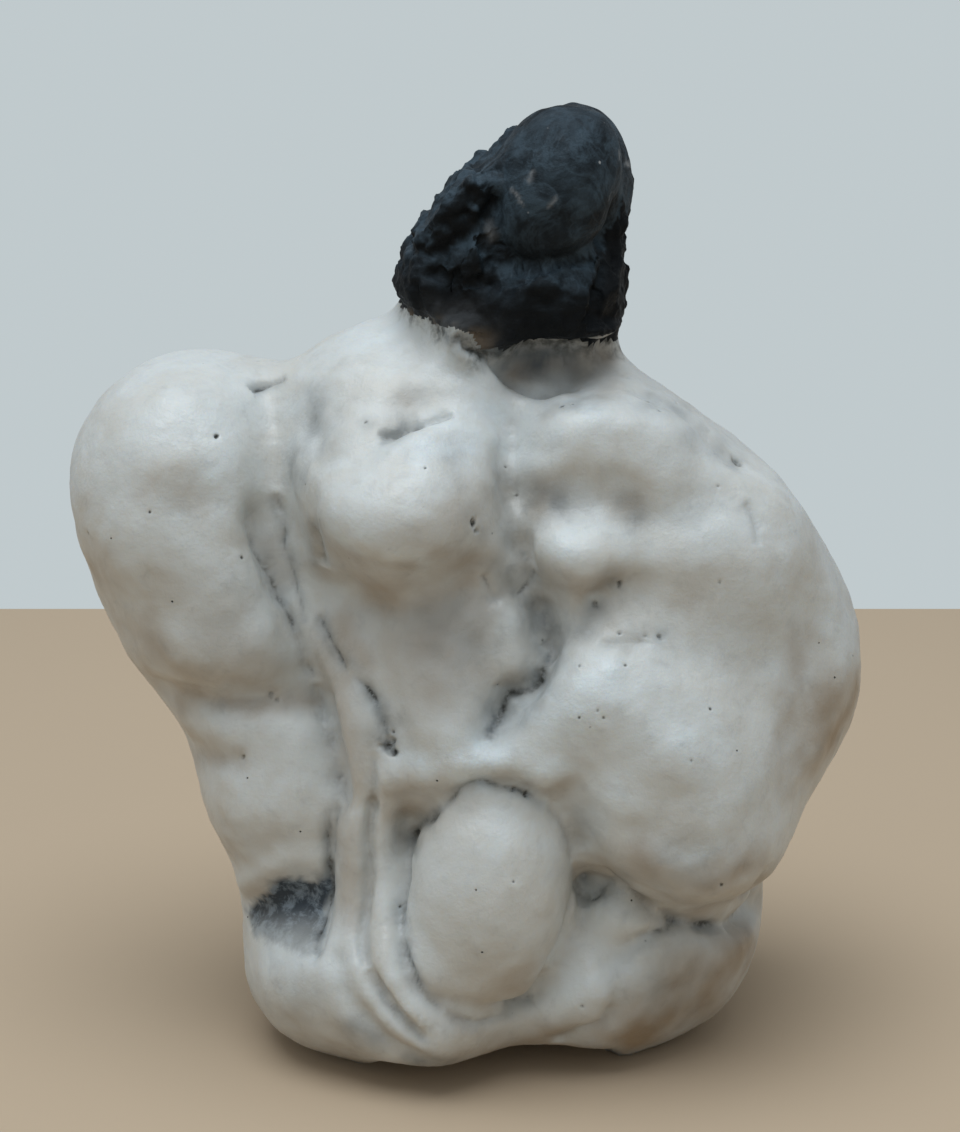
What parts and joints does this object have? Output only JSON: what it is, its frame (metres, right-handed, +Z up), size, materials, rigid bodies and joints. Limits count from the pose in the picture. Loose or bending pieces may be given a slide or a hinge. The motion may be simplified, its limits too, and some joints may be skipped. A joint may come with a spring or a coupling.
{
  "type": "viewing stone",
  "caption": "Natural pale viewing stone of rounded, folded lobes, with a rough dark knob on its crown and a flat spot to rest on.",
  "frame": {"origin": "centre of the small flat spot that the stone rests on", "axes": "+Z up, from the resting spot to the top of the dark knob; the shown face, with the round ball low on it, looks along -Y; +X is to the right of someone who looks at that face"},
  "size_m": [0.068, 0.042, 0.0798],
  "materials": {
    "chalcedony": "smooth waxy white stone, with dark grey rough host rock on the knob and in one patch"
  },
  "bodies": {
    "root": {"stone": "chalcedony"}
  },
  "joints": []
}
